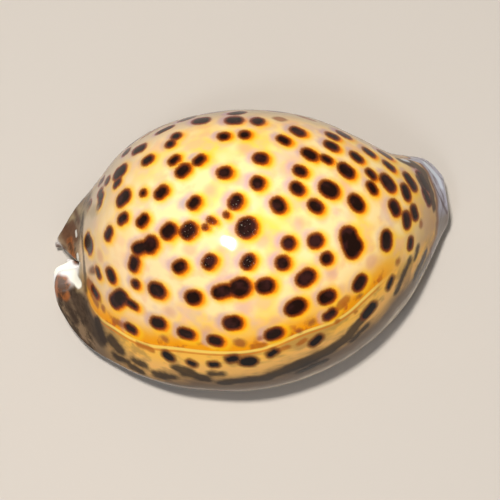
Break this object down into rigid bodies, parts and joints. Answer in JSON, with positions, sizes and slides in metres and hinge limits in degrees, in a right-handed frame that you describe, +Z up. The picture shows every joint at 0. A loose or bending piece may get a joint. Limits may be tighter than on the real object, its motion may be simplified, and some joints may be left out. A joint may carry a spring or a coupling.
{
  "type": "cowrie shell",
  "caption": "spotted tiger cowrie seashell, an egg-shaped glossy dome over a flat white base with a toothed slit, notched at both ends",
  "frame": {"origin": "on the floor it rests on, under the middle of the shell's box", "axes": "+X to the narrower front end, -Y to the outer-lip side, +Z up through the crown of the back"},
  "size_m": [0.0852, 0.0572, 0.0473],
  "materials": {
    "shell": "glossy"
  },
  "bodies": {
    "root": {"shell": "shell"}
  },
  "joints": []
}
